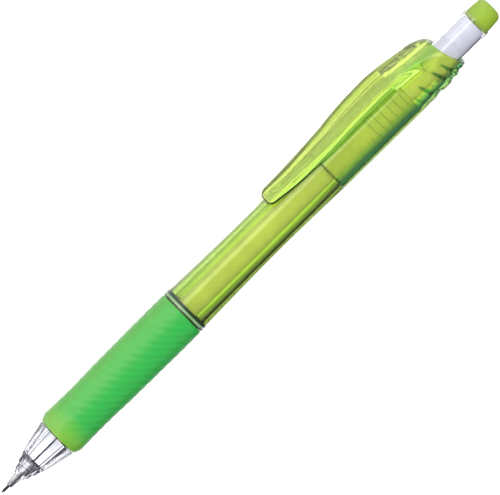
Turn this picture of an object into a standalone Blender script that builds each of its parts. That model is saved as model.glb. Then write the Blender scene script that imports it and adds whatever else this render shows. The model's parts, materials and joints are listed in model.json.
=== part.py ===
"""Lead holder: a clear-nosed push pencil for thin graphite leads, modelled as the assembly it really is.

Every piece is drawn in the pencil's own frame, in which Z runs along the axis from the writing tip (z = 0) to the
eraser and X points at the clip. One empty then lays that frame on the table: the tip points along world +X, the
clip hangs to the -Y side and its edge touches the ground, which is how the real object comes to rest.
"""

import math

import bmesh
import bpy
from mathutils import Matrix, Vector

MM = 0.001
SEGMENTS = 32  # facets around the pencil's body
FINE_SEGMENTS = 20  # facets around the small inner pieces
MERGE = 0.000001  # merge distance of the turned pieces

# Lengths and radii below are millimetres in the pencil's own frame.
LENGTH = 146.0
CLEARANCE = 0.05  # between pieces pressed together
RUNNING = 0.1  # between pieces that slide

# Lead and its guide
LEAD_RADIUS = 0.25
LEAD_LENGTH = 52.0
LEAD_TAPER = 0.35  # length of the worn point
LEAD_SLIP = 0.02  # between the lead and what grips it
SPARE_LENGTH = 60.0
SPARE_START = 52.0
SPARE_STEP = 3.0  # each spare lead lies this much further back than the last
SPARE_RING = 0.8  # distance of the spare leads from the axis
SPARE_COUNT = 3
PIPE_START = 0.5
PIPE_RADIUS = 0.34
PIPE_BORE = 0.28
PIPE_SHANK_START = 2.3
PIPE_SHANK_RADIUS = 0.42
PIPE_BODY_START = 5.9
PIPE_BODY_END = 9.0
PIPE_BODY_RADIUS = 1.1
RETAINER_RADIUS = 0.72
RETAINER_START = 6.6
RETAINER_END = 8.8
RETAINER_MOUTH = 0.45

# Clear nose cone
NOSE_START = 2.1
NOSE_STEP_END = 9.1
NOSE_END = 16.6
NOSE_END_RADIUS = 4.72
NOSE_HOLLOW_START = 9.9  # the cone is a shell, hollow between the guide and the threaded throat
NOSE_HOLLOW_END = 16.5
NOSE_HOLLOW_FRONT = 2.2
NOSE_HOLLOW_REAR = 2.7
NOSE_THROAT_START = 16.9
NOSE_THROAT_RADIUS = 2.05
NOSE_FLUTES = 8
FLUTE_TURN = 0.155  # of a flute's share of the circle, from the clip's direction to the first flute
FLUTE_OUTWARD = 0.8  # how far the cutting wedges stand out of the skin
FLUTE_HALF_WIDTH = 0.8  # of a wedge at its outer face
FLUTE_DEPTH = 0.3
SPIGOT_RADIUS = 3.1
SPIGOT_END = 21.2
THREAD_PITCH = 0.8
THREAD_DEPTH = 0.14

# Clutch
SEAT_START = 21.5
SEAT_END = 25.6
SEAT_RADIUS = 3.1
SEAT_BORE = 1.3
RING_START = 18.25
RING_END = 20.25
RING_RADIUS = 2.25
RING_BORE = 1.62
RING_STOP = 17.5  # ledge in the nose that stops the ring on its way forward
JAW_START = 17.6
JAW_END = 23.8
JAW_COUNT = 3
JAW_SPAN = 112.0  # degrees of the circle that one jaw fills
JAW_SLIT = 0.12  # from the axis to the nearest edge of a jaw
JAW_SHANK_RADIUS = 0.95
JAW_HEAD_RADIUS = 1.5
JAW_PIVOT_RADIUS = 0.75
CHUCK_START = 24.0
CHUCK_END = 38.0
CHUCK_RADIUS = 1.15
CHUCK_BORE = 0.5
JOINT_START = 33.4
JOINT_END = 43.5
JOINT_RADIUS = 2.3
JOINT_FUNNEL = 1.45  # mouth that guides the next lead into the chuck
SPRING_START = 25.85
SPRING_END = 33.15
SPRING_TURNS = 7
SPRING_RADIUS = 1.75
SPRING_WIRE = 0.17
SPRING_POINTS_PER_TURN = 10

# Barrel: core under the grip, flange, waisted body and ribbed spigot inside the cap
CORE_START = 16.9
CORE_RADIUS = 4.0
CORE_BORE = 3.2
SHOULDER = 25.8
SHOULDER_BORE = 2.8
WAIST_START = 51.0  # where the bore opens out again behind the clutch
WAIST_BORE = 3.4
FLANGE_START = 54.0
FLANGE_END = 55.5
FLANGE_RADIUS = 5.53
BARREL_END = 96.8
BARREL_WAIST = 78.5
BARREL_WAIST_RADIUS = 5.01
BARREL_FRONT_RADIUS = 5.42
BARREL_REAR_RADIUS = 5.355
BARREL_BORE = 4.15
PLUG_BORE = 3.6
PLUG_BORE_START = 96.0
RIB_PITCH = 1.3
RIB_START = 108.1
RIB_COUNT = 9
PLUG_RADIUS = 4.4  # ribbed spigot
RIB_HEIGHT = 0.12
PLUG_END = 120.0

# Rubber grip
GRIP_START = 16.85
GRIP_END = 53.85
RIDGE_PITCH = 2.0
RIDGE_HEIGHT = 0.16
RIDGE_TILT = 5.2  # axial reach of each slanted ridge from the axis to the skin
RIDGE_FADE = 9.0  # length over which the slant grows from nothing at either end

# Cap and clip
CAP_START = 97.05
CAP_FRONT_RADIUS = 5.355
CAP_REAR_RADIUS = 5.48
CAP_BORE = 4.62
CAP_INNER_END = 120.3
CAP_NECK_START = 126.5
CAP_NECK_BORE = 4.32
CAP_MOUTH = 3.75
CAP_FLARE = 21.0  # length over which the cap grows to its rear radius
RIM_ROUNDING = 1.05
RIM_ROUNDING_LENGTH = 5.5
RIM_CENTRE = 132.57
RIM_SLANT = 1.5
SCALLOP_SLANT = 1.6  # how far each scallop leans back between the side and the clip
CLIP_TIP = 82.95
CLIP_SPLIT = 119.0  # where the springy arm meets its root on the cap
SPLIT_GAP = 0.3
TIP_ROUNDING = 1.7
TIP_SQUARENESS = 2.6  # 2 would be a half circle
PAD_CENTRE = (6.275, 0.0, 87.3)  # swelling under the free end that presses the pocket's cloth
PAD_SIZE = (0.9, 1.3, 2.6)
CLIP_CROWN = 0.06  # rise of the clip's front face along its middle

# Push unit
TUBE_RADIUS = 2.5
TUBE_BORE = 1.9
TUBE_START = 38.4
TUBE_NECK = 126.0
TUBE_SEAT_RADIUS = 2.9
TUBE_GROOVE = 134.6
TUBE_END = 140.6
BUTTON_START = 126.6
BUTTON_RADIUS = 3.55
BUTTON_BORE = 3.0
BUTTON_MOUTH_START = 139.75
BUTTON_MOUTH = 3.3
BUTTON_END = 141.6
ERASER_START = 140.8
ERASER_RADIUS = 3.18
ERASER_PLUG_RADIUS = 1.8
ERASER_PLUG_START = 133.0

CLIP_DROP = 14.4  # degrees the clip points below the horizon when the pencil lies on it


def clear_scene():
    for item in list(bpy.data.objects):
        bpy.data.objects.remove(item, do_unlink=True)


def new_collection(name):
    found = bpy.data.collections.new(name)
    bpy.context.scene.collection.children.link(found)
    return found


def new_material(name, colour, roughness, metallic=0.0, transmission=0.0):
    material = bpy.data.materials.new(name)
    material.use_nodes = True
    shader = material.node_tree.nodes["Principled BSDF"]
    shader.inputs["Base Color"].default_value = (*colour, 1.0)
    shader.inputs["Roughness"].default_value = roughness
    shader.inputs["Metallic"].default_value = metallic
    shader.inputs["Transmission Weight"].default_value = transmission
    material.diffuse_color = (*colour, 1.0)
    return material


def place(name, mesh, material, parent, origin=(0.0, 0.0, 0.0)):
    """Adds the mesh as a named part under its parent, with its own origin at the given point of the pencil frame."""
    mesh.name = name
    mesh.materials.clear()
    mesh.materials.append(material)
    part = bpy.data.objects.new(name, mesh)
    parts.objects.link(part)
    part.parent = parent
    part.location = [value * MM for value in origin]
    return part


def smooth(mesh, angle=35.0):
    mesh.shade_smooth()
    mesh.set_sharp_from_angle(angle=math.radians(angle))


def profile_mesh(points, closed=True):
    """An edge chain in the XZ plane from (radius, z) points that run down the outer side and up the bore."""
    mesh = bpy.data.meshes.new("profile")
    work = bmesh.new()
    verts = [work.verts.new((r * MM, 0.0, z * MM)) for r, z in points]
    for first, second in zip(verts, verts[1:]):
        work.edges.new((first, second))
    if closed:
        work.edges.new((verts[-1], verts[0]))
    work.to_mesh(mesh)
    work.free()
    return mesh


def turned(name, outer, bore, material, parent, segments=SEGMENTS):
    """A round piece. Outer and bore are (z, radius) lists from front to rear; no bore makes a solid piece."""
    points = [(r, z) for z, r in reversed(outer)]
    if bore:
        points += [(r, z) for z, r in bore]
    else:
        points = [(0.0, outer[-1][0])] + points + [(0.0, outer[0][0])]
    part = place(name, profile_mesh(points, closed=bool(bore)), material, parent)
    screw = part.modifiers.new("turn", "SCREW")
    screw.axis = "Z"
    screw.steps = segments
    screw.render_steps = segments
    screw.use_merge_vertices = True
    screw.merge_threshold = MERGE
    screw.use_smooth_shade = True
    return part


def evaluated_mesh(part):
    graph = bpy.context.evaluated_depsgraph_get()
    return bpy.data.meshes.new_from_object(part.evaluated_get(graph))


def loft(rings, closed):
    """A mesh through rings of equal length. A closed loft joins the last ring to the first; an open one is capped."""
    work = bmesh.new()
    rows = [[work.verts.new(Vector(point) * MM) for point in ring] for ring in rings]
    count = len(rows[0])
    pairs = list(zip(rows, rows[1:]))
    if closed:
        pairs.append((rows[-1], rows[0]))
    for low, high in pairs:
        for i in range(count):
            j = (i + 1) % count
            work.faces.new((low[i], low[j], high[j], high[i]))
    if not closed:
        work.faces.new(reversed(rows[0]))
        work.faces.new(rows[-1])
    bmesh.ops.recalc_face_normals(work, faces=work.faces)
    mesh = bpy.data.meshes.new("loft")
    work.to_mesh(mesh)
    work.free()
    return mesh


def along(stations, z):
    """The values at z between (z, value, ...) stations, in straight steps from one station to the next."""
    if z <= stations[0][0]:
        return stations[0][1:]
    for low, high in zip(stations, stations[1:]):
        if z <= high[0]:
            share = (z - low[0]) / (high[0] - low[0])
            return tuple(a + (b - a) * share for a, b in zip(low[1:], high[1:]))
    return stations[-1][1:]


def polar(radius, angle, z):
    return (radius * math.cos(angle), radius * math.sin(angle), z)


def spread(first, last, count):
    return [first + (last - first) * i / (count - 1) for i in range(count)]


def cutter(name, work, parent):
    """A hidden tool shape for a Boolean modifier."""
    mesh = bpy.data.meshes.new(name)
    bmesh.ops.recalc_face_normals(work, faces=work.faces)
    work.to_mesh(mesh)
    work.free()
    tool = bpy.data.objects.new(name, mesh)
    cutters.objects.link(tool)
    tool.parent = parent
    tool.hide_render = True
    tool.display_type = "WIRE"
    return tool


def boolean(part, tool, operation):
    step = part.modifiers.new(operation.lower(), "BOOLEAN")
    step.operation = operation
    step.object = tool
    step.solver = "EXACT"


# The lead, the metal guide pipe and the rubber lead retainer inside it


def make_lead(name, start, length, material, parent, offset=(0.0, 0.0)):
    outer = [
        (start, LEAD_RADIUS * 0.4),
        (start + LEAD_TAPER, LEAD_RADIUS),
        (start + length, LEAD_RADIUS),
    ]
    lead = turned(name, outer, None, material, parent, segments=10)
    lead.location = (offset[0] * MM, offset[1] * MM, 0.0)
    return lead


def make_spare_leads(material, parent):
    for i in range(SPARE_COUNT):
        angle = math.tau * i / SPARE_COUNT
        offset = (SPARE_RING * math.cos(angle), SPARE_RING * math.sin(angle))
        make_lead(f"spare_lead_{i + 1}", SPARE_START + SPARE_STEP * i, SPARE_LENGTH, material, parent, offset)


def make_guide(material, parent):
    outer = [
        (PIPE_START, PIPE_RADIUS),
        (PIPE_SHANK_START, PIPE_RADIUS),
        (PIPE_SHANK_START + 0.1, PIPE_SHANK_RADIUS),
        (PIPE_BODY_START, PIPE_SHANK_RADIUS),
        (PIPE_BODY_START + 0.2, PIPE_BODY_RADIUS - 0.2),
        (PIPE_BODY_START + 0.4, PIPE_BODY_RADIUS),
        (PIPE_BODY_END, PIPE_BODY_RADIUS),
    ]
    bore = [
        (PIPE_START, PIPE_BORE),
        (RETAINER_START - 0.1, PIPE_BORE),
        (RETAINER_START - 0.1, RETAINER_RADIUS + CLEARANCE),
        (PIPE_BODY_END, RETAINER_RADIUS + CLEARANCE),
    ]
    turned("lead_sleeve", outer, bore, material, parent, FINE_SEGMENTS)


def make_retainer(material, parent):
    middle = (RETAINER_START + RETAINER_END) / 2
    outer = [(RETAINER_START, RETAINER_RADIUS), (RETAINER_END, RETAINER_RADIUS)]
    bore = [
        (RETAINER_START, RETAINER_MOUTH),
        (middle, LEAD_RADIUS + LEAD_SLIP),
        (RETAINER_END, RETAINER_MOUTH),
    ]
    turned("lead_retainer", outer, bore, material, parent, FINE_SEGMENTS)


# Nose cone: stepped tip, fluted cone and threaded spigot


NOSE_STATIONS = (  # z, radius
    (NOSE_START, 0.66),
    (5.0, 0.98),
    (5.25, 1.4),
    (5.75, 1.78),
    (7.0, 2.05),
    (7.35, 2.45),
    (8.6, 2.72),
    (NOSE_STEP_END, 3.05),
    (11.9, 3.75),
    (14.3, 4.3),
    (NOSE_END, NOSE_END_RADIUS),
)


def make_nose(material, parent):
    outer = [*NOSE_STATIONS, (NOSE_END, SPIGOT_RADIUS)]
    z = NOSE_END + THREAD_PITCH
    while z < SPIGOT_END - THREAD_PITCH:
        outer.append((z, SPIGOT_RADIUS - THREAD_DEPTH))
        outer.append((z + THREAD_PITCH / 2, SPIGOT_RADIUS))
        z += THREAD_PITCH
    outer.append((SPIGOT_END, SPIGOT_RADIUS - THREAD_DEPTH))
    bore = [
        (NOSE_START, PIPE_SHANK_RADIUS + CLEARANCE),
        (PIPE_BODY_START - 0.1, PIPE_SHANK_RADIUS + CLEARANCE),
        (PIPE_BODY_START + 0.1, PIPE_BODY_RADIUS + CLEARANCE),
        (PIPE_BODY_END + 0.1, PIPE_BODY_RADIUS + CLEARANCE),
        (NOSE_HOLLOW_START, NOSE_HOLLOW_FRONT),
        (NOSE_HOLLOW_END, NOSE_HOLLOW_REAR),
        (NOSE_THROAT_START, NOSE_THROAT_RADIUS),
        (RING_STOP, NOSE_THROAT_RADIUS),
        (RING_STOP, RING_RADIUS + RUNNING),
        (SPIGOT_END, RING_RADIUS + RUNNING),
    ]
    nose = turned("nose_cone", outer, bore, material, parent)
    boolean(nose, flute_cutter(parent), "DIFFERENCE")


def flute_cutter(parent):
    """Eight thin wedges whose inner edges run just under the cone's skin."""
    work = bmesh.new()
    front, rear = NOSE_STEP_END + 0.35, NOSE_END - 0.5
    front_radius, rear_radius = 3.15, 4.62
    for i in range(NOSE_FLUTES):
        turn = Matrix.Rotation(math.tau * (i + FLUTE_TURN) / NOSE_FLUTES, 4, "Z")
        section = ((-FLUTE_DEPTH, 0.0), (FLUTE_OUTWARD, FLUTE_HALF_WIDTH), (FLUTE_OUTWARD, -FLUTE_HALF_WIDTH))
        ends = []
        for z, radius in ((front, front_radius), (rear, rear_radius)):
            points = [Vector((radius + x, y, z)) * MM for x, y in section]
            ends.append([work.verts.new(turn @ point) for point in points])
        for a in range(3):
            b = (a + 1) % 3
            work.faces.new((ends[0][a], ends[0][b], ends[1][b], ends[1][a]))
        work.faces.new(reversed(ends[0]))
        work.faces.new(ends[1])
    return cutter("flute_cutter", work, parent)


# Clutch: three jaws, the ring that closes them, the brass seat, the chuck tail and its spring


def make_jaws(material, parent):
    outer = [
        (JAW_START, JAW_HEAD_RADIUS - 0.2),
        (JAW_START + 0.4, JAW_HEAD_RADIUS),
        (RING_END - 0.3, JAW_HEAD_RADIUS - 0.3),
        (RING_END, JAW_SHANK_RADIUS),
        (JAW_END, JAW_SHANK_RADIUS),
    ]
    bore = [
        (JAW_START, LEAD_RADIUS + LEAD_SLIP),
        (RING_END, LEAD_RADIUS + LEAD_SLIP),
        (RING_END + 0.4, CHUCK_BORE),
        (JAW_END, CHUCK_BORE),
    ]
    for i in range(JAW_COUNT):
        centre = math.tau * i / JAW_COUNT
        pivot = bpy.data.objects.new(f"jaw_pivot_{i + 1}", None)
        parts.objects.link(pivot)
        pivot.empty_display_size = 2 * MM
        pivot.parent = parent
        pivot.location = Vector(polar(JAW_PIVOT_RADIUS, centre, JAW_END)) * MM
        jaw = turned(f"chuck_jaw_{i + 1}", outer, bore, material, pivot, segments=24)
        jaw.location = -pivot.location
        boolean(jaw, jaw_wedge(i, centre, pivot), "INTERSECT")


def jaw_wedge(index, centre, pivot):
    """A sector of the circle, standing clear of the axis by the width of the slits between the jaws."""
    half = math.radians(JAW_SPAN / 2)
    reach = 2 * JAW_HEAD_RADIUS
    outline = [(JAW_SLIT, 0.0)] + [(reach * math.cos(a), reach * math.sin(a)) for a in spread(-half, half, 5)]
    turn = Matrix.Rotation(centre, 4, "Z")
    work = bmesh.new()
    rows = []
    for z in (JAW_START - 1.0, JAW_END + 1.0):
        rows.append([work.verts.new(turn @ (Vector((x, y, z)) * MM)) for x, y in outline])
    count = len(outline)
    for a in range(count):
        b = (a + 1) % count
        work.faces.new((rows[0][a], rows[0][b], rows[1][b], rows[1][a]))
    work.faces.new(reversed(rows[0]))
    work.faces.new(rows[1])
    tool = cutter(f"jaw_wedge_{index + 1}", work, pivot)
    tool.location = -pivot.location
    return tool


def make_clutch(brass, steel, parent):
    ring = [(RING_START, RING_RADIUS), (RING_END, RING_RADIUS)]
    ring_bore = [(RING_START, RING_BORE), (RING_END, RING_BORE - 0.2)]
    turned("clutch_ring", ring, ring_bore, brass, parent, 24)
    seat = [(SEAT_START, SEAT_RADIUS), (SEAT_END, SEAT_RADIUS)]
    seat_bore = [(SEAT_START, SEAT_BORE), (SEAT_END, SEAT_BORE)]
    turned("clutch_seat", seat, seat_bore, brass, parent, SEGMENTS)
    tail = [(CHUCK_START, CHUCK_RADIUS), (CHUCK_END, CHUCK_RADIUS)]
    tail_bore = [(CHUCK_START, CHUCK_BORE), (CHUCK_END, CHUCK_BORE)]
    turned("chuck_tail", tail, tail_bore, brass, parent, 24)
    make_spring(steel, parent)


def make_spring(material, parent):
    """A compression spring round the chuck tail, between the seat and the shoulder of the chuck holder."""
    curve = bpy.data.curves.new("return_spring", "CURVE")
    curve.dimensions = "3D"
    curve.bevel_depth = SPRING_WIRE * MM
    curve.bevel_resolution = 2
    curve.use_fill_caps = True
    spline = curve.splines.new("POLY")
    count = SPRING_TURNS * SPRING_POINTS_PER_TURN + 1
    spline.points.add(count - 1)
    first, last = SPRING_START + SPRING_WIRE, SPRING_END - SPRING_WIRE
    for i, z in enumerate(spread(first, last, count)):
        x, y, z = polar(SPRING_RADIUS, math.tau * i / SPRING_POINTS_PER_TURN, z)
        spline.points[i].co = (x * MM, y * MM, z * MM, 1.0)
    curve.materials.append(material)
    spring = bpy.data.objects.new("return_spring", curve)
    parts.objects.link(spring)
    spring.parent = parent


def make_chuck_holder(material, parent):
    outer = [
        (JOINT_START, JOINT_RADIUS - 0.2),
        (JOINT_START + 0.3, JOINT_RADIUS),
        (TUBE_START - 0.3, JOINT_RADIUS),
        (TUBE_START - 0.3, TUBE_BORE - CLEARANCE),
        (JOINT_END, TUBE_BORE - CLEARANCE - 0.15),
    ]
    bore = [
        (JOINT_START, CHUCK_RADIUS + CLEARANCE),
        (CHUCK_END + 0.1, CHUCK_RADIUS + CLEARANCE),
        (CHUCK_END + 0.1, CHUCK_BORE),
        (JOINT_END - 2.0, CHUCK_BORE),
        (JOINT_END, JOINT_FUNNEL),
    ]
    turned("chuck_holder", outer, bore, material, parent, 24)


# Push unit: lead tube, clear button and eraser


def make_lead_tube(material, parent):
    outer = [
        (TUBE_START, TUBE_RADIUS),
        (TUBE_NECK, TUBE_RADIUS),
        (TUBE_NECK + 0.8, TUBE_SEAT_RADIUS),
        (TUBE_GROOVE - 0.2, TUBE_SEAT_RADIUS),
        (TUBE_GROOVE, TUBE_SEAT_RADIUS - 0.08),
        (TUBE_GROOVE + 0.2, TUBE_SEAT_RADIUS),
        (TUBE_END - 0.2, TUBE_SEAT_RADIUS),
        (TUBE_END, TUBE_SEAT_RADIUS - 0.2),
    ]
    bore = [(TUBE_START, TUBE_BORE), (TUBE_END, TUBE_BORE)]
    turned("lead_tube", outer, bore, material, parent, 24)


def make_button(material, parent):
    outer = [
        (BUTTON_START, BUTTON_RADIUS - 0.1),
        (BUTTON_START + 0.3, BUTTON_RADIUS),
        (BUTTON_END - 0.15, BUTTON_RADIUS),
        (BUTTON_END, BUTTON_RADIUS - 0.12),
    ]
    bore = [
        (BUTTON_START, BUTTON_BORE),
        (BUTTON_MOUTH_START, BUTTON_BORE),
        (BUTTON_MOUTH_START, BUTTON_MOUTH),
        (BUTTON_END, BUTTON_MOUTH),
    ]
    turned("push_button", outer, bore, material, parent, 24)


def make_eraser(material, parent):
    outer = [
        (ERASER_PLUG_START, ERASER_PLUG_RADIUS - 0.2),
        (ERASER_PLUG_START + 0.3, ERASER_PLUG_RADIUS),
        (ERASER_START, ERASER_PLUG_RADIUS),
        (ERASER_START, ERASER_RADIUS),
        (BUTTON_END + 0.4, ERASER_RADIUS),
        (LENGTH - 1.1, ERASER_RADIUS - 0.2),
        (LENGTH - 0.35, ERASER_RADIUS - 0.5),
        (LENGTH, ERASER_RADIUS - 1.0),
    ]
    turned("eraser", outer, None, material, parent, 24)


# Barrel: one moulding from the core under the grip to the ribbed spigot inside the cap


def barrel_radius(z):
    """A gentle waist between the flange and the cap joint."""
    if z < BARREL_WAIST:
        share = (BARREL_WAIST - z) / (BARREL_WAIST - FLANGE_END)
        rise = BARREL_FRONT_RADIUS - BARREL_WAIST_RADIUS
    else:
        share = (z - BARREL_WAIST) / (BARREL_END - BARREL_WAIST)
        rise = BARREL_REAR_RADIUS - BARREL_WAIST_RADIUS
    return BARREL_WAIST_RADIUS + rise * min(share, 1.0) ** 1.5


def barrel_outline():
    outer = [
        (CORE_START, CORE_RADIUS),
        (FLANGE_START, CORE_RADIUS),
        (FLANGE_START, FLANGE_RADIUS - 0.1),
        (FLANGE_START + 0.15, FLANGE_RADIUS),
        (FLANGE_START + 0.55, FLANGE_RADIUS),
        (FLANGE_START + 0.75, FLANGE_RADIUS - 0.12),
        (FLANGE_START + 0.95, FLANGE_RADIUS),
        (FLANGE_END - 0.15, FLANGE_RADIUS),
        (FLANGE_END, BARREL_FRONT_RADIUS),
    ]
    outer += [(z, barrel_radius(z)) for z in spread(FLANGE_END + 3.5, BARREL_END, 12)]
    outer.append((BARREL_END, PLUG_RADIUS))
    for i in range(RIB_COUNT):
        z = RIB_START + RIB_PITCH * i
        outer.append((z, PLUG_RADIUS))
        outer.append((z + RIB_PITCH / 2, PLUG_RADIUS + RIB_HEIGHT))
    outer.append((PLUG_END - 0.2, PLUG_RADIUS))
    outer.append((PLUG_END, PLUG_RADIUS - 0.15))
    return outer


def make_barrel(material, parent):
    bore = [
        (CORE_START, CORE_BORE),
        (SHOULDER, CORE_BORE),
        (SHOULDER, SHOULDER_BORE),
        (WAIST_START, SHOULDER_BORE),
        (WAIST_START, WAIST_BORE),
        (FLANGE_START, WAIST_BORE),
        (FLANGE_START + 0.6, BARREL_BORE),
        (PLUG_BORE_START - 0.6, BARREL_BORE),
        (PLUG_BORE_START, PLUG_BORE),
        (PLUG_END, PLUG_BORE),
    ]
    turned("barrel", barrel_outline(), bore, material, parent)


# Grip: a rubber sleeve with shallow ridges that lean back from the clip side


GRIP_STATIONS = (
    (GRIP_START, 4.8),
    (17.4, 5.05),
    (18.6, 5.42),
    (21.5, 5.32),
    (25.5, 5.28),
    (28.8, 5.33),
    (32.5, 5.46),
    (42.0, 5.54),
    (47.5, 5.58),
    (52.6, 5.56),
    (GRIP_END, 5.45),
)


def grip_slant(z):
    """How far ridges lean at z: upright rings at both ends of the sleeve and the full slant between them."""
    inset = min(z - GRIP_START, GRIP_END - z)
    share = max(0.0, min(1.0, inset / RIDGE_FADE))
    return RIDGE_TILT * share * share * (3.0 - 2.0 * share)


def make_grip(material, parent):
    angles = [math.tau * i / SEGMENTS for i in range(SEGMENTS)]
    rings = []
    first, last = GRIP_START + 1.75, GRIP_END - 1.25
    count = 2 * round((last - first) / RIDGE_PITCH) + 1
    heights = [GRIP_START, GRIP_START + 0.55] + spread(first, last, count) + [GRIP_END]
    for i, z in enumerate(heights):
        valley = RIDGE_HEIGHT if 2 < i < len(heights) - 2 and i % 2 else 0.0
        slant = grip_slant(z)
        ring = []
        for angle in angles:
            height = z - slant * math.cos(angle)
            ring.append(polar(along(GRIP_STATIONS, height)[0] - valley, angle, height))
        rings.append(ring)
    for z in (GRIP_END, GRIP_START):
        rings.append([polar(CORE_RADIUS + CLEARANCE, angle, z) for angle in angles])
    mesh = loft(rings, closed=True)
    smooth(mesh, 60.0)
    place("grip", mesh, material, parent)


# Cap: a sleeve whose rear end swells into the clip's root, with a slanted mouth and scalloped underside


ROOT_STATIONS = (  # z, height over the axis, half width, corner radius of the clip's root
    (118.0, 7.75, 3.9, 0.8),
    (120.0, 7.5, 3.9, 0.9),
    (122.0, 7.15, 3.95, 1.0),
    (124.0, 6.75, 4.1, 1.3),
    (126.0, 6.4, 4.4, 1.8),
    (127.5, 6.2, 4.75, 2.4),
    (129.0, 5.9, 5.0, 3.3),
    (130.4, 5.5, 5.1, 4.2),
    (131.5, 4.9, 4.7, 4.4),
)


def cap_radius(z):
    share = min(1.0, max(0.0, (z - BARREL_END) / CAP_FLARE))
    return CAP_FRONT_RADIUS + (CAP_REAR_RADIUS - CAP_FRONT_RADIUS) * share


def rim_height(angle):
    return RIM_CENTRE - RIM_SLANT * math.cos(angle)


def rounded_box_radius(angle, height, width, corner):
    """Distance from the axis to a box of the given height and half width with rounded corners."""
    x, y = math.cos(angle), abs(math.sin(angle))
    if x <= 0.0:
        return 0.0
    a, b = height - corner, width - corner
    if y * height <= b * x:
        return height / x
    if x * width <= a * y:
        return width / y
    p = a * x + b * y
    return p + math.sqrt(max(0.0, p * p - (a * a + b * b - corner * corner)))


SCALLOPS = (  # z at the side of the cap, half width and depth
    (124.3, 1.2, 0.3),
    (128.4, 1.1, 0.3),
    (130.6, 0.8, 0.25),
)


def scallop(angle, z):
    """Depth of the slanted grooves across the side away from the clip."""
    share = max(0.0, min(1.0, (0.55 - math.cos(angle)) / 0.9))
    depth = 0.0
    for centre, width, deepest in SCALLOPS:
        offset = (z - centre + SCALLOP_SLANT * math.cos(angle)) / width
        depth += deepest * max(0.0, 1.0 - offset * offset) ** 1.5
    return depth * share * share * (3.0 - 2.0 * share)


def cap_outer(angle, z, rooted):
    """Outer radius of the cap, with or without the clip's root standing on it."""
    inset = max(0.0, rim_height(angle) - z)
    rounding = RIM_ROUNDING * max(0.0, 1.0 - inset / RIM_ROUNDING_LENGTH) ** 1.7
    clip_side = max(0.0, math.cos(angle))
    base = cap_radius(z) - rounding * (1.0 - 0.45 * clip_side) - scallop(angle, z)
    if not rooted:
        return base
    height, width, corner = along(ROOT_STATIONS, z)
    return max(base, rounded_box_radius(angle, height, width, corner))


def cap_angles():
    half = [0, 7, 14, 20, 24, 27, 31, 36, 42, 48, 56, 66, 77, 90, 104, 120, 136, 150, 165]
    ring = half + [180] + [360 - a for a in reversed(half[1:])]
    return [math.radians(a) for a in ring]


def make_cap(material, parent):
    angles = cap_angles()
    rings = []
    root = CLIP_SPLIT + SPLIT_GAP
    for z in (CAP_START, 104.0, 112.0, root):
        rings.append([polar(cap_outer(a, z, False), a, z) for a in angles])
    rows = 21
    for i in range(rows):
        share = i / (rows - 1)
        ring = []
        for a in angles:
            z = root + (rim_height(a) - root) * share
            radius = cap_outer(a, z, True) + (0.01 if i == 0 else 0.0)
            ring.append(polar(radius, a, z))
        rings.append(ring)
    rings.append([polar(CAP_MOUTH, a, rim_height(a)) for a in angles])
    for z, radius in ((CAP_NECK_START, CAP_MOUTH), (CAP_NECK_START - 1.2, CAP_NECK_BORE)):
        rings.append([polar(radius, a, z) for a in angles])
    for z, radius in ((CAP_INNER_END, CAP_NECK_BORE), (CAP_INNER_END, CAP_BORE), (CAP_START, CAP_BORE)):
        rings.append([polar(radius, a, z) for a in angles])
    mesh = loft(rings, closed=True)
    smooth(mesh, 40.0)
    place("rear_cap", mesh, material, parent)


# Clip: a springy arm that stands off the barrel, from its root on the cap to a rounded free end


CLIP_STATIONS = (  # z, height over the axis, half width, corner radius, clearance under it
    (CLIP_TIP, 6.4, 2.45, 0.5, 0.75),
    (84.6, 6.75, 2.5, 0.55, 0.8),
    (87.2, 6.76, 2.6, 0.6, 0.5),
    (91.0, 6.8, 2.75, 0.6, 0.2),
    (94.8, 6.88, 2.95, 0.65, 0.2),
    (98.2, 7.0, 3.15, 0.7, 0.25),
    (101.6, 7.14, 3.35, 0.7, 0.42),
    (105.0, 7.5, 3.6, 0.8, 0.75),
    (108.3, 7.76, 3.75, 0.8, 1.0),
    (111.7, 7.87, 3.85, 0.8, 1.12),
    (116.0, 7.87, 3.9, 0.8, 1.15),
    (CLIP_SPLIT, 7.63, 3.9, 0.85, 1.05),
)


def body_radius(z):
    return barrel_radius(z) if z < BARREL_END else cap_radius(z)


def clip_section(z):
    """One slice: rounded top, short side walls and an underside that follows the barrel."""
    height, width, corner, clearance = along(CLIP_STATIONS, z)
    short = max(0.0, 1.0 - (z - CLIP_TIP) / TIP_ROUNDING)
    width *= max(0.25, 1.0 - short**TIP_SQUARENESS) ** (1.0 / TIP_SQUARENESS)
    corner = min(corner, width * 0.9)
    under = body_radius(z) + clearance
    edge = math.asin(min(0.95, width / under))
    points = [(under * math.cos(a), under * math.sin(a)) for a in spread(edge, -edge, 7)]
    skirt = max(height - corner, under * math.cos(edge) + 0.1)
    points.append((skirt, -width))
    for a in spread(-math.pi / 3, -math.pi / 6, 2):
        points.append((height - corner + corner * math.cos(a), -width + corner + corner * math.sin(a)))
    points += [(height, corner - width), (height + CLIP_CROWN, 0.0), (height, width - corner)]
    for a in spread(math.pi / 6, math.pi / 3, 2):
        points.append((height - corner + corner * math.cos(a), width - corner + corner * math.sin(a)))
    points.append((skirt, width))
    return [(x, y, z) for x, y in points]


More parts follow.
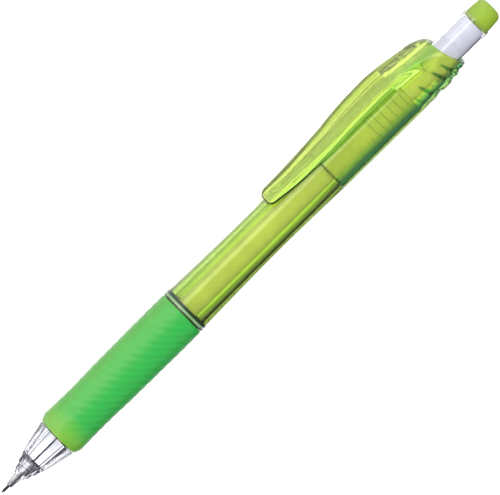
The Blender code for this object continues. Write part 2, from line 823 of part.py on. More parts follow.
def make_clip(material, parent):
    heights = [CLIP_TIP, CLIP_TIP + 0.12, CLIP_TIP + 0.35, CLIP_TIP + 0.7, CLIP_TIP + 1.2]
    heights += spread(CLIP_TIP + TIP_ROUNDING, CLIP_SPLIT, 15)
    hinge = Vector((7.0, 0.0, CLIP_SPLIT))
    rings = [[Vector(point) - hinge for point in clip_section(z)] for z in heights]
    mesh = loft(rings, closed=False)
    smooth(mesh, 40.0)
    clip = place("clip", mesh, material, parent, origin=hinge)
    work = bmesh.new()
    bmesh.ops.create_uvsphere(work, u_segments=16, v_segments=10, radius=1.0)
    bmesh.ops.scale(work, vec=Vector(PAD_SIZE) * MM, verts=work.verts)
    bmesh.ops.translate(work, vec=Vector(PAD_CENTRE) * MM, verts=work.verts)
    boolean(clip, cutter("clip_pad", work, parent), "UNION")


def lay_down(frame):
    """Lays the pencil frame on the ground plane with the bounding box centred over the world origin."""
    drop = math.radians(CLIP_DROP)
    clip_axis = Vector((0.0, -math.cos(drop), -math.sin(drop)))
    pen_axis = Vector((-1.0, 0.0, 0.0))
    side_axis = pen_axis.cross(clip_axis)
    rotation = Matrix((clip_axis, side_axis, pen_axis)).transposed()
    frame.rotation_euler = rotation.to_euler()
    bpy.context.view_layer.update()
    graph = bpy.context.evaluated_depsgraph_get()
    points = []
    for part in parts.objects:
        if part.type == "EMPTY":
            continue
        shape = part.evaluated_get(graph)
        mesh = shape.to_mesh()
        points += [shape.matrix_world @ vertex.co for vertex in mesh.vertices]
        shape.to_mesh_clear()
    low = Vector([min(point[i] for point in points) for i in range(3)])
    high = Vector([max(point[i] for point in points) for i in range(3)])
    middle = (low + high) / 2
    frame.location = (-middle.x, -middle.y, -low.z)


def build():
    frame = bpy.data.objects.new("pencil_frame", None)
    frame.empty_display_size = 10 * MM
    parts.objects.link(frame)

    graphite = new_material("graphite", (0.05, 0.05, 0.06), 0.45, 0.3)
    make_lead("lead_in_use", 0.0, LEAD_LENGTH, graphite, frame)
    make_spare_leads(new_material("spare_graphite", (0.05, 0.05, 0.06), 0.45, 0.3), frame)

    make_guide(new_material("bright_steel", (0.62, 0.62, 0.64), 0.25, 1.0), frame)
    make_retainer(new_material("retainer_rubber", (0.08, 0.08, 0.08), 0.8), frame)
    make_nose(new_material("clear_plastic", (0.9, 0.9, 0.94), 0.08, 0.0, 0.9), frame)

    brass = new_material("brass", (0.75, 0.55, 0.25), 0.3, 1.0)
    make_jaws(brass, frame)
    make_clutch(brass, new_material("spring_steel", (0.55, 0.55, 0.57), 0.3, 1.0), frame)
    make_chuck_holder(new_material("white_plastic", (0.85, 0.85, 0.86), 0.4), frame)

    make_lead_tube(new_material("frosted_tube", (0.8, 0.8, 0.86), 0.35), frame)
    make_button(new_material("clear_button", (0.88, 0.88, 0.94), 0.08, 0.0, 0.9), frame)
    make_eraser(new_material("eraser_rubber", (0.36, 0.6, 0.05), 0.75), frame)

    make_barrel(new_material("lime_plastic", (0.5, 0.68, 0.05), 0.12, 0.0, 0.6), frame)
    make_grip(new_material("grip_rubber", (0.13, 0.55, 0.06), 0.65), frame)
    make_cap(new_material("lime_cap", (0.48, 0.66, 0.05), 0.12, 0.0, 0.6), frame)
    make_clip(new_material("lime_clip", (0.48, 0.66, 0.05), 0.12, 0.0, 0.6), frame)
    lay_down(frame)


clear_scene()
parts = new_collection("lead_holder")
cutters = new_collection("cutters")
build()
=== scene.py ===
"""Lead holder, visual model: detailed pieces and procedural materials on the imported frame."""

import json
import math

import bmesh
import bpy
from mathutils import Matrix, Vector


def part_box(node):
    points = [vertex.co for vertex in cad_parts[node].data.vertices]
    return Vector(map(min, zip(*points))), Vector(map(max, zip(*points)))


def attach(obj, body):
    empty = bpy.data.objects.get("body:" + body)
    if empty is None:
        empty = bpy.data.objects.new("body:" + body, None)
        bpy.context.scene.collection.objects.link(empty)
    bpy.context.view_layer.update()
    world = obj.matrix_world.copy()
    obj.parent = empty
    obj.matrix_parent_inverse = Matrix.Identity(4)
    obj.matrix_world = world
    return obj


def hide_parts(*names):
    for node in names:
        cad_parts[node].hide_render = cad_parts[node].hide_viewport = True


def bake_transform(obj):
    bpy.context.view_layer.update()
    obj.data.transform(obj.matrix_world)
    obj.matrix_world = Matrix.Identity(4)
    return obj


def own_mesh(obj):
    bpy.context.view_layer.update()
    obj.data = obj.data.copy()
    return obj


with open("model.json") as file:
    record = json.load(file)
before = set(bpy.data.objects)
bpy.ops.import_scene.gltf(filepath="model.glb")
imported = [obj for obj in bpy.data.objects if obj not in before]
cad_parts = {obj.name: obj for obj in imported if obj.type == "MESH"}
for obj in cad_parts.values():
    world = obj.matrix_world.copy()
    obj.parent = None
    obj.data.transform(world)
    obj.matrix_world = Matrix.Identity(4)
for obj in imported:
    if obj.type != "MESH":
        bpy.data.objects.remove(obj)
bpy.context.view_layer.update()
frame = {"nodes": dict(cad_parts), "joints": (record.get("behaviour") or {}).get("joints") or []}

MM = 0.001
SAME_POINT = 0.00000002  # metres: corners closer than this are merged, which removes faces without area

# The pencil's own frame: Z from the tip to the eraser, X towards the clip, in millimetres
barrel_low, barrel_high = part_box("barrel")
lead_low, lead_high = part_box("lead_in_use")
clip_hinge = next(j for j in frame["joints"] if j["name"] == "clip_flex")
AXIS = Vector((lead_high[0], (barrel_low[1] + barrel_high[1]) / 2, (barrel_low[2] + barrel_high[2]) / 2))
HINGE = Vector(clip_hinge["pos_m"])
TO_TAIL = Vector((-1.0, 0.0, 0.0))
TO_CLIP = Vector((0.0, HINGE.y - AXIS.y, HINGE.z - AXIS.z)).normalized()
TO_SIDE = TO_TAIL.cross(TO_CLIP)
PEN = Matrix((TO_CLIP, TO_SIDE, TO_TAIL)).transposed().to_4x4()
PEN.translation = AXIS

# Camera and photograph frame
VIEW_TURN = math.radians(52.0)  # from the clip's direction to the camera, about the pencil's axis
VIEW_ROLL = math.radians(44.75)  # the pencil rises this much to the right in the picture
VIEW_WIDTH = 105.8  # millimetres across the picture
VIEW_CENTRE = (73.84, -0.16)  # point at the picture's centre: along the axis, and towards the clip's side
LENS = 300.0
SENSOR_WIDTH = 36.0

# Directions of the pencil's frame
ALONG = Vector((0.0, 0.0, 1.0))
TO_CAMERA = Vector((math.cos(VIEW_TURN), math.sin(VIEW_TURN), 0.0))
ACROSS = Vector((-math.sin(VIEW_TURN), math.cos(VIEW_TURN), 0.0))  # down the picture, away from the clip

# The studio: its strength, the brightness of its parts as shares of that, and its floor
STUDIO_STRENGTH = 3.4
FRONT_GLOW = 1.0
FRONT_TOP = (0.16, 0.12)
REAR_DARK = 0.004
REAR_TOP = (0.09, 0.1)
FLOOR_HALF = 3.0  # metres


def direction(way):
    """A direction of the pencil's frame as a direction of the scene."""
    return PEN.to_3x3() @ way


def add_piece(name, work, materials, body, node=None, angle=35.0, paint=None):
    """Finishes a bmesh drawn in the pencil's frame as a piece that rides a body and may stand for a CAD node.

    paint(centre, normal) picks each face's material; the centre is in millimetres in the pencil's frame."""
    bmesh.ops.remove_doubles(work, verts=work.verts, dist=SAME_POINT)
    bmesh.ops.recalc_face_normals(work, faces=work.faces)
    if paint:
        work.normal_update()
        for face in work.faces:
            face.material_index = materials.index(paint(face.calc_center_median() / MM, face.normal))
    mesh = bpy.data.meshes.new(name)
    work.to_mesh(mesh)
    work.free()
    mesh.transform(PEN)
    for material in materials:
        mesh.materials.append(material)
    mesh.shade_smooth()
    mesh.set_sharp_from_angle(angle=math.radians(angle))
    piece = bpy.data.objects.new(name, mesh)
    bpy.context.scene.collection.objects.link(piece)
    if body:
        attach(piece, body)
    if node:
        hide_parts(node)
    return piece


def loft(rings, closed=False):
    """Faces through rings of equal length; closed joins last to first, or else both ends are capped."""
    work = bmesh.new()
    rows = [[work.verts.new(Vector(point) * MM) for point in ring] for ring in rings]
    count = len(rows[0])
    pairs = list(zip(rows, rows[1:]))
    if closed:
        pairs.append((rows[-1], rows[0]))
    for low, high in pairs:
        for i in range(count):
            j = (i + 1) % count
            work.faces.new((low[i], low[j], high[j], high[i]))
    if not closed:
        work.faces.new(list(reversed(rows[0])))
        work.faces.new(rows[-1])
    return work


def polar(radius, angle, z):
    """A point of the pencil's frame by its distance and angle round the axis, from the clip's direction."""
    return (radius * math.cos(angle), radius * math.sin(angle), z)


def round_angles(count):
    return [math.tau * i / count for i in range(count)]


def turned(outer, bore, count=96):
    """A round piece from (z, radius) lists, front to rear, for its outside and its bore."""
    angles = round_angles(count)
    thinnest = 0.001
    rings = [[polar(max(r, thinnest), a, z) for a in angles] for z, r in outer]
    if not bore:
        return loft(rings)
    rings += [[polar(r, a, z) for a in angles] for z, r in reversed(bore)]
    return loft(rings, closed=True)


def rounded(profile, radius=0.12, steps=3):
    """The profile with its corners rounded by short arcs, as moulded edges are."""
    result = [profile[0]]
    for before, corner, after in zip(profile, profile[1:], profile[2:]):
        p, q, r = Vector(before), Vector(corner), Vector(after)
        reach = min(radius, (p - q).length * 0.45, (r - q).length * 0.45)
        start = q + (p - q).normalized() * reach
        end = q + (r - q).normalized() * reach
        for i in range(steps + 1):
            t = i / steps
            point = start * (1 - t) ** 2 + q * 2 * t * (1 - t) + end * t**2
            result.append((point.x, point.y))
    result.append(profile[-1])
    return result


def spread(first, last, count):
    """Evenly spaced values from first to last."""
    return [first + (last - first) * i / (count - 1) for i in range(count)]


def ease(t):
    """A smooth step from 0 at 0 to 1 at 1."""
    t = max(0.0, min(1.0, t))
    return t * t * (3.0 - 2.0 * t)


def along(stations, z):
    """Smooth values at z between (z, value, ...) stations, with slopes taken from the neighbours."""
    if z <= stations[0][0]:
        return stations[0][1:]
    if z >= stations[-1][0]:
        return stations[-1][1:]
    k = next(i for i in range(len(stations) - 1) if z <= stations[i + 1][0])
    low, high = stations[k], stations[k + 1]
    before = stations[max(k - 1, 0)]
    after = stations[min(k + 2, len(stations) - 1)]
    width = high[0] - low[0]
    t = (z - low[0]) / width
    values = []
    for a, b, c, d in zip(before[1:], low[1:], high[1:], after[1:]):
        leaving = (c - a) / (high[0] - before[0]) * width
        arriving = (d - b) / (after[0] - low[0]) * width
        value = b * (2 * t**3 - 3 * t**2 + 1) + leaving * (t**3 - 2 * t**2 + t)
        values.append(value + c * (3 * t**2 - 2 * t**3) + arriving * (t**3 - t**2))
    return tuple(values)


def along_straight(stations, z):
    """The value at z on straight lines between (z, value) stations."""
    if z <= stations[0][0]:
        return stations[0][1]
    for low, high in zip(stations, stations[1:]):
        if z <= high[0]:
            return low[1] + (high[1] - low[1]) * (z - low[0]) / (high[0] - low[0])
    return stations[-1][1]


# ---------------------------------------------------------------- materials


class Nodes:
    """A node tree with short ways to add and link nodes."""

    def __init__(self, tree):
        self.tree = tree

    def add(self, kind, operation=None, **values):
        """A new node; values are its inputs by name, with _ for a space."""
        node = self.tree.nodes.new(kind)
        if operation:
            node.operation = operation
        for key, value in values.items():
            node.inputs[key.replace("_", " ")].default_value = value
        return node

    def link(self, source, target):
        self.tree.links.new(source, target)

    def ramp(self, factor, stops):
        """A colour ramp through (place, colour) stops."""
        node = self.add("ShaderNodeValToRGB")
        elements = node.color_ramp.elements
        while len(elements) < len(stops):
            elements.new(0.5)
        for element, (place, colour) in zip(elements, stops):
            element.position = place
            element.color = (*colour, 1.0)
        self.link(factor, node.inputs["Fac"])
        return node.outputs["Color"]

    def mixed_shaders(self, factor, first, second):
        mix = self.add("ShaderNodeMixShader")
        self.link(factor, mix.inputs["Fac"])
        self.link(first, mix.inputs[1])
        self.link(second, mix.inputs[2])
        return mix.outputs["Shader"]


class Shader(Nodes):
    """A material's nodes, from its principled shader to its output."""

    def __init__(self, name):
        self.material = bpy.data.materials.new(name)
        self.material.use_nodes = True
        super().__init__(self.material.node_tree)
        self.main = self.tree.nodes["Principled BSDF"]
        self.output = self.tree.nodes["Material Output"]

    def set(self, **values):
        for key, value in values.items():
            self.main.inputs[key.replace("_", " ")].default_value = value

    def position(self):
        """Object coordinates in millimetres, so that grain sizes read in millimetres."""
        place = self.add("ShaderNodeTexCoord")
        mapping = self.add("ShaderNodeMapping", Scale=(1.0 / MM,) * 3)
        self.link(place.outputs["Object"], mapping.inputs["Vector"])
        return mapping.outputs["Vector"]

    def noise(self, vector, scale, detail=3.0):
        node = self.add("ShaderNodeTexNoise", Scale=scale, Detail=detail, Roughness=0.55)
        self.link(vector, node.inputs["Vector"])
        return node.outputs["Fac"]

    def mottled(self, factor, dark, light):
        return self.ramp(factor, [(0.3, dark), (0.7, light)])

    def level(self, factor, low, high):
        node = self.add("ShaderNodeMapRange", To_Min=low, To_Max=high)
        self.link(factor, node.inputs["Value"])
        return node.outputs["Result"]

    def bump(self, factor, distance, strength):
        node = self.add("ShaderNodeBump", Distance=distance * MM, Strength=strength)
        self.link(factor, node.inputs["Height"])
        return node.outputs["Normal"]

    def times(self, first, second):
        node = self.add("ShaderNodeMath", operation="MULTIPLY")
        self.link(first, node.inputs[0])
        self.link(second, node.inputs[1])
        return node.outputs["Value"]

    def mixed(self, factor, colour, other):
        node = self.add("ShaderNodeMixRGB", Color2=(*other, 1.0))
        self.link(factor, node.inputs["Fac"])
        self.link(colour, node.inputs["Color1"])
        return node.outputs["Color"]

    def beyond(self, way, start, end):
        """0 at start and 1 at end: millimetres from the tip along a direction of the pencil's frame."""
        way = direction(way)
        tip = AXIS.dot(way) / MM
        dot = self.add("ShaderNodeVectorMath", operation="DOT_PRODUCT")
        dot.inputs[1].default_value = way
        self.link(self.position(), dot.inputs[0])
        span = self.add("ShaderNodeMapRange", From_Min=tip + start, From_Max=tip + end)
        self.link(dot.outputs["Value"], span.inputs["Value"])
        return span.outputs["Result"]

    def mix_painted_bands(self, colour, painted_bands):
        """Painted light: each band is another colour, a painted shade or highlight, and the limits, as beyond
        takes them, where it comes in or goes out.
        """
        for shade, first, *others in painted_bands:
            share = self.beyond(*first)
            for limits in others:
                share = self.times(share, self.beyond(*limits))
            colour = self.mixed(share, colour, shade)
        return colour

    def finish(self, place, colour, roughness, rough_grain, bump_grain, bump):
        """Links the base colour, a roughness between two values and a bump of some (height, strength)."""
        self.link(colour, self.main.inputs["Base Color"])
        self.link(self.level(self.noise(place, rough_grain), *roughness), self.main.inputs["Roughness"])
        self.link(self.bump(self.noise(place, *bump_grain), *bump), self.main.inputs["Normal"])

    def lit_through(self, tint):
        """Lets lamp light pass to what is inside: for shadow rays the surface only tints the light."""
        rays = self.add("ShaderNodeLightPath")
        clear = self.add("ShaderNodeBsdfTransparent", Color=(*tint, 1.0))
        shadow = rays.outputs["Is Shadow Ray"]
        surface = self.mixed_shaders(shadow, self.main.outputs["BSDF"], clear.outputs["BSDF"])
        self.link(surface, self.output.inputs["Surface"])


def see_through(
    name, colour, outline_shade, turn=(0.5, 0.86), roughness=0.04, grain=0.02, clarity=1.0, absorbing=None, painted_bands=()
):
    """A moulded transparent plastic: the rim colour is painted shade where it turns away from the camera, the
    bands are painted shade and highlight, absorbing its inner tint.
    """
    s = Shader(name)
    s.set(Transmission_Weight=clarity, IOR=1.49)
    place = s.position()
    facing = s.add("ShaderNodeLayerWeight", Blend=0.5)
    body = s.mottled(s.noise(place, 0.15), [c * 0.93 for c in colour], colour)
    body = s.mix_painted_bands(body, painted_bands)
    # painted shade: the rim colour comes in towards the outlines, as the surface turns from the camera
    painted_outline_share = s.ramp(facing.outputs["Facing"], [(turn[0], (0, 0, 0)), (turn[1], (1, 1, 1))])
    body = s.mixed(painted_outline_share, body, outline_shade)
    s.finish(place, body, (roughness * 0.5, roughness * 2.0), 0.7, (0.3, 2.0), (grain, 0.35))
    if absorbing:
        shade, density = absorbing
        inside = s.add("ShaderNodeVolumeAbsorption", Color=(*shade, 1.0), Density=density)
        s.link(inside.outputs["Volume"], s.output.inputs["Volume"])
    s.lit_through([0.6 + 0.4 * c for c in colour])
    return s.material


def rubber(name, light, dark, roughness=0.55, grain=6.0, painted_bands=(), blotched=None):
    """A soft matt rubber with bands of painted shade; blotched is another colour and the limits between which
    it comes in unevenly.
    """
    s = Shader(name)
    place = s.position()
    s.set(IOR=1.5, Subsurface_Weight=0.25, Subsurface_Scale=0.0015)
    colour = s.mottled(s.noise(place, 0.2, 4.0), dark, light)
    colour = s.mix_painted_bands(colour, painted_bands)
    if blotched:
        shade, limits = blotched
        colour = s.mixed(s.times(s.beyond(*limits), s.noise(place, 0.12, 2.0)), colour, shade)
    s.finish(place, colour, (roughness * 0.85, roughness * 1.15), grain, (grain, 4.0), (0.02, 0.5))
    return s.material


def metal(name, light, dark, roughness):
    """A metal with faint marks round the pencil, as turning leaves them."""
    s = Shader(name)
    s.set(Metallic=1.0)
    turned_marks = s.add("ShaderNodeMapping", Scale=(12.0, 0.6, 0.6))
    s.link(s.position(), turned_marks.inputs["Vector"])
    marks = s.noise(turned_marks.outputs["Vector"], 1.2, 4.0)
    s.link(s.mottled(marks, dark, light), s.main.inputs["Base Color"])
    s.link(s.level(marks, roughness * 0.7, roughness * 1.4), s.main.inputs["Roughness"])
    s.link(s.bump(marks, 0.006, 0.5), s.main.inputs["Normal"])
    return s.material


def matt_plastic(name, light, dark, roughness, transmission=0.0, passing=None):
    """A matt plastic; passing is the tint of the light that it lets through."""
    s = Shader(name)
    place = s.position()
    s.set(IOR=1.5, Transmission_Weight=transmission)
    colour = s.mottled(s.noise(place, 0.25), dark, light)
    s.finish(place, colour, (roughness * 0.8, roughness * 1.2), 2.0, (3.0, 3.0), (0.01, 0.4))
    if passing:
        s.lit_through(passing)
    return s.material


def fused_plane():
    """The inner plane where arm and root are one moulding: light passes it as if it weren't there."""
    s = Shader("fused_plane")
    clear = s.add("ShaderNodeBsdfTransparent")
    s.link(clear.outputs["BSDF"], s.output.inputs["Surface"])
    s.tree.nodes.remove(s.main)
    return s.material


# Painted shade on the barrel, fixed across the pencil: a dimmer band and a dark line towards the far edge,
# and a dimmer band near the clip's edge.
BARREL_PAINTED_SHADE = [
    ((0.6, 0.74, 0.2), (ACROSS, 2.2, 2.7)),
    ((0.1, 0.12, 0.02), (ACROSS, 3.7, 4.1), (ACROSS, 5.1, 4.8)),
    ((0.55, 0.68, 0.16), (ACROSS, -3.2, -3.8)),
]
# Painted light on the cap and clip: a green shade band beside the arm, teal shade on the far side, and on the
# clip's side a darker shade before the root and a painted highlight past it.
CAP_PAINTED_SHADE_AND_HIGHLIGHT = [
    ((0.36, 0.62, 0.1), (ACROSS, -3.6, -3.0), (ACROSS, -1.1, -1.7)),
    ((0.12, 0.42, 0.2), (ACROSS, 2.9, 4.0), (ACROSS, 5.1, 4.7)),
    ((0.5, 0.6, 0.11), (ACROSS, -4.9, -5.5), (ALONG, 119.3, 118.6)),
    ((0.74, 0.84, 0.24), (ACROSS, -4.8, -5.4), (ALONG, 118.6, 119.3)),
]
# Painted teal shade on the far side of the plug.
PLUG_PAINTED_SHADE = [((0.12, 0.55, 0.35), (ACROSS, 2.6, 3.2), (ACROSS, 4.2, 3.9))]
# Painted shade: the grip turns darker and more emerald towards the side away from the clip.
GRIP_PAINTED_SHADE = [((0.012, 0.2, 0.03), (ACROSS, -6.3, 1.7))]
GRIP_FRONT = ((0.13, 0.23, 0.01), (ALONG, 23.0, 17.5))
SMOKE = (0.8, 0.8, 0.9)

LIME = see_through(
    "lime_barrel", (0.83, 0.88, 0.22), (0.14, 0.18, 0.03), (0.45, 0.6), roughness=0.03, clarity=0.97,
    absorbing=((0.6, 0.8, 0.6), 250.0), painted_bands=BARREL_PAINTED_SHADE,
)
LIME_CAP = see_through(
    "lime_cap", (0.63, 0.74, 0.15), (0.02, 0.07, 0.012), (0.45, 0.7), roughness=0.03, clarity=0.92,
    painted_bands=CAP_PAINTED_SHADE_AND_HIGHLIGHT,
)
LIME_PLUG = see_through("lime_plug", (0.93, 0.98, 0.7), (0.3, 0.6, 0.3), (0.6, 0.85), painted_bands=PLUG_PAINTED_SHADE)
# painted shade for the rib gaps and the end of the plug, seen through the cap
LIME_PAINTED_PLUG_SHADE = see_through("lime_painted_plug_shade", (0.2, 0.42, 0.12), (0.1, 0.3, 0.1))
# painted shade: dark teal on the grooves' steep flanks and the clip's lower edges, where refraction would
# darken them
LIME_PAINTED_SHADE = see_through("lime_painted_shade", (0.07, 0.26, 0.08), (0.01, 0.06, 0.02), roughness=0.05)


def clear_plastic(name, colour, outline_shade, turn, density=None):
    absorbing = (SMOKE, density) if density else None
    return see_through(name, colour, outline_shade, turn, roughness=0.02, grain=0.01, absorbing=absorbing)


# The second colours are painted shade along the outlines, darkest on the stepped tip and the point.
CLEAR = clear_plastic("clear_nose", (0.97, 0.97, 0.99), (0.02, 0.02, 0.03), (0.52, 0.72), 120.0)
CLEAR_TIP = clear_plastic("clear_tip", (0.95, 0.95, 0.98), (0.01, 0.01, 0.015), (0.3, 0.5), 150.0)
CLEAR_POINT = clear_plastic("clear_point", (0.96, 0.96, 0.98), (0.004, 0.004, 0.006), (0.24, 0.36))
CLEAR_BUTTON = clear_plastic("clear_button", (0.96, 0.96, 0.99), (0.02, 0.02, 0.03), (0.6, 0.8), 120.0)
FROSTED = matt_plastic("frosted_tube", (0.37, 0.375, 0.41), (0.3, 0.305, 0.34), 0.3, 0.0, (0.9, 0.9, 0.92))
GRIP = rubber(
    "grip_rubber", (0.05, 0.195, 0.022), (0.038, 0.18, 0.02), 0.42, painted_bands=GRIP_PAINTED_SHADE, blotched=GRIP_FRONT
)
ERASER = rubber("eraser_rubber", (0.145, 0.22, 0.014), (0.12, 0.195, 0.012), 0.6, 9.0)
STEEL = metal("bright_steel", (0.72, 0.72, 0.74), (0.5, 0.5, 0.53), 0.25)
PIPE_STEEL = metal("pipe_steel", (0.06, 0.06, 0.065), (0.04, 0.04, 0.045), 0.4)
SHANK_STEEL = metal("shank_steel", (0.42, 0.41, 0.45), (0.3, 0.3, 0.33), 0.35)
BRASS = metal("turned_brass", (0.80, 0.60, 0.28), (0.62, 0.44, 0.18), 0.3)
GRAPHITE = matt_plastic("graphite", (0.025, 0.025, 0.028), (0.015, 0.015, 0.017), 0.55)
WHITE = matt_plastic("white_plastic", (0.82, 0.82, 0.83), (0.74, 0.74, 0.76), 0.4)
FLANGE_PALE = matt_plastic("flange_stripe", (0.26, 0.36, 0.2), (0.1, 0.24, 0.08), 0.12, 0.4)
# painted shade: dark lines where refraction darkens the flange and the clip's edges, and the dark joint at
# the cap
LIME_PAINTED_DARK_LINE = matt_plastic("lime_painted_dark_line", (0.004, 0.018, 0.004), (0.003, 0.012, 0.002), 0.3)
# painted shade for the floors of the nose's grooves, in place of the dark lines refraction gives there
CLEAR_PAINTED_GROOVE_SHADE = matt_plastic("clear_painted_groove_shade", (0.06, 0.06, 0.075), (0.03, 0.03, 0.04), 0.2, 0.3)
DARK_RUBBER = rubber("retainer_rubber", (0.03, 0.03, 0.03), (0.02, 0.02, 0.02))
FUSED = fused_plane()


# ---------------------------------------------------------------- nose, lead and guide pipe


NOSE_PROFILE = [
    (2.1, 0.62), (2.18, 0.68), (5.0, 0.96), (5.12, 1.3), (5.3, 1.42), (5.7, 1.5), (5.78, 1.8),
    (7.1, 2.08), (7.3, 2.2), (7.38, 2.45), (8.4, 2.66), (9.0, 2.86), (9.12, 3.02),
    (10.2, 3.28), (11.9, 3.73), (13.5, 4.1), (15.2, 4.46), (16.2, 4.68), (16.52, 4.72), (16.6, 4.66),
]
NOSE_FRONT = 2.1
NOSE_SHOULDER = 16.6  # where the cone ends and the threaded spigot starts
NOSE_BORE = [
    (21.2, 2.35), (17.5, 2.35), (17.5, 2.05), (16.9, 2.05), (16.5, 2.7), (9.9, 2.2), (9.1, 1.15),
    (6.0, 1.15), (5.8, 0.47), (NOSE_FRONT, 0.47),
]
SPIGOT_END = 21.2
THREAD_RINGS = 4
THREAD_PITCH = 0.8
THREAD_CREST = 3.1
THREAD_ROOT = 2.96
POINT_END = 5.05
STEPS_START = 5.75
LANDS_START = 9.0
GROOVE_DEPTH = 0.34
GROOVE_HALF_WIDTH = 0.3
STEP_GROOVE_DEPTH = 0.16
STEP_GROOVE_HALF_WIDTH = 0.45
# half width of the painted shade on each groove's floor
GROOVE_SHADE_HALF_WIDTH = 0.13
FLUTES = 8
FLUTE_PHASE = math.radians(7.0)
FLUTE_CORNERS = 40  # corners of a ring between two grooves
FLUTE_CROWDING = 0.75  # how much closer together those corners are in the grooves


def from_groove(angle, radius):
    """How far round the nose the nearest groove is."""
    lobe = (angle - FLUTE_PHASE) * FLUTES / math.tau
    return abs(lobe - round(lobe)) * math.tau / FLUTES * radius


def nose_outer(angle, z):
    """Outside of the nose: stepped tip, then eight lands parted by narrow grooves."""
    radius = along_straight(NOSE_PROFILE, z)
    distance = from_groove(angle, radius)
    if z > LANDS_START:
        depth = GROOVE_DEPTH * ease((z - 9.1) / 0.5) * ease((16.4 - z) / 0.25)
        radius -= depth * max(0.0, 1.0 - distance / GROOVE_HALF_WIDTH) ** 1.2
    elif z > STEPS_START:
        depth = STEP_GROOVE_DEPTH * ease((z - STEPS_START) / 0.3)
        radius -= depth * max(0.0, 1.0 - distance / STEP_GROOVE_HALF_WIDTH)
    return radius


def nose_looks(centre, normal):
    """The stepped tip has painted shade along its outlines, and the floors of the grooves between the lands
    have painted shade.
    """
    if centre.z < POINT_END:
        return CLEAR_POINT
    if centre.z < LANDS_START:
        return CLEAR_TIP
    radius = math.hypot(centre.x, centre.y)
    grooved = 9.3 <= centre.z <= 16.3 and radius >= 2.6
    floor = from_groove(math.atan2(centre.y, centre.x), radius) < GROOVE_SHADE_HALF_WIDTH
    return CLEAR_PAINTED_GROOVE_SHADE if grooved and floor else CLEAR


def nose_angles():
    """Angles round the nose, closer together at the grooves."""
    angles = []
    for i in range(FLUTES):
        start = FLUTE_PHASE + math.tau * i / FLUTES
        for k in range(FLUTE_CORNERS):
            t = k / FLUTE_CORNERS
            bent = t - FLUTE_CROWDING * math.sin(math.tau * t) / math.tau
            angles.append(start + bent * math.tau / FLUTES)
    return angles


def make_nose():
    angles = nose_angles()
    heights = sorted({round(z, 4) for z, _ in NOSE_PROFILE} | {round(z, 4) for z in spread(9.12, 16.5, 34)})
    rings = [[polar(nose_outer(a, z), a, z) for a in angles] for z in heights]
    spigot = [(NOSE_SHOULDER, THREAD_CREST)]
    for i in range(1, THREAD_RINGS + 1):
        z = NOSE_SHOULDER + THREAD_PITCH * i
        spigot += [(z, THREAD_ROOT), (z + THREAD_PITCH / 2, THREAD_CREST)]
    spigot.append((SPIGOT_END, THREAD_ROOT))
    rings += [[polar(r, a, z) for a in angles] for z, r in spigot + NOSE_BORE]
    work = loft(rings, closed=True)
    looks = [CLEAR, CLEAR_PAINTED_GROOVE_SHADE, CLEAR_TIP, CLEAR_POINT]
    add_piece("nose_shell", work, looks, "nose", "nose_cone", 30.0, nose_looks)


PIPE_END = 2.2
SHANK_END = 5.9
GUIDE_END = 9.0


def guide_looks(centre, normal):
    """The bare end of the pipe is the darkest, the shank is duller and the body is bright."""
    if centre.z > SHANK_END:
        return STEEL
    return SHANK_STEEL if centre.z > PIPE_END else PIPE_STEEL


def make_guide():
    outer = [(0.5, 0.30), (0.56, 0.34), (2.25, 0.34), (2.4, 0.42), (SHANK_END, 0.42), (6.1, 0.9), (6.3, 1.1)]
    outer.append((GUIDE_END, 1.1))
    bore = [(0.5, 0.28), (6.5, 0.28), (6.5, 0.77), (GUIDE_END, 0.77)]
    work = turned(outer, bore, 64)
    looks = [PIPE_STEEL, SHANK_STEEL, STEEL]
    add_piece("guide_pipe", work, looks, "nose_carriage", "lead_sleeve", 35.0, guide_looks)


def make_lead():
    outer = [(0.0, 0.09), (0.04, 0.14), (0.16, 0.2), (0.36, 0.24), (0.5, 0.25), (52.0, 0.25)]
    work = turned(outer, None, 32)
    add_piece("lead_core", work, [GRAPHITE], "feed", "lead_in_use")


# ---------------------------------------------------------------- grip


GRIP_STATIONS = (
    (16.85, 4.78), (17.1, 4.92), (17.8, 5.2), (18.5, 5.4), (19.2, 5.4), (21.5, 5.33), (25.5, 5.28),
    (28.8, 5.33), (32.5, 5.45), (37.0, 5.5), (42.0, 5.54), (47.5, 5.58), (51.5, 5.57), (52.6, 5.56),
    (53.2, 5.55), (53.6, 5.5), (53.85, 5.38),
)
GRIP_FRONT_END = 16.85
GRIP_REAR_END = 53.85
GRIP_BORE = 4.06
RIDGE_PITCH = 2.0
RIDGE_REACH = 5.2
RIDGE_HEIGHT = 0.11


def grip_outer(angle, z):
    """Outside of the grip: slanted ridges that fade out towards both ends."""
    radius = along(GRIP_STATIONS, z)[0]
    lean = (z + RIDGE_REACH * math.cos(angle)) / RIDGE_PITCH
    phase = lean - math.floor(lean)
    wave = (0.5 - 0.5 * math.cos(math.tau * phase)) ** 0.7
    reach = ease((z - 18.6) / 3.0) * ease((52.9 - z) / 1.2)
    return radius - RIDGE_HEIGHT * reach * (1.0 - wave)


def make_grip():
    angles = round_angles(180)
    heights = spread(GRIP_FRONT_END, 19.0, 12) + spread(19.15, 52.4, 230) + spread(52.6, GRIP_REAR_END, 10)
    rings = [[polar(grip_outer(a, z), a, z) for a in angles] for z in heights]
    rings += [[polar(GRIP_BORE, a, z) for a in angles] for z in (GRIP_REAR_END, GRIP_FRONT_END)]
    add_piece("grip_sleeve", loft(rings, closed=True), [GRIP], "holder", "grip", 40.0)


# ---------------------------------------------------------------- barrel


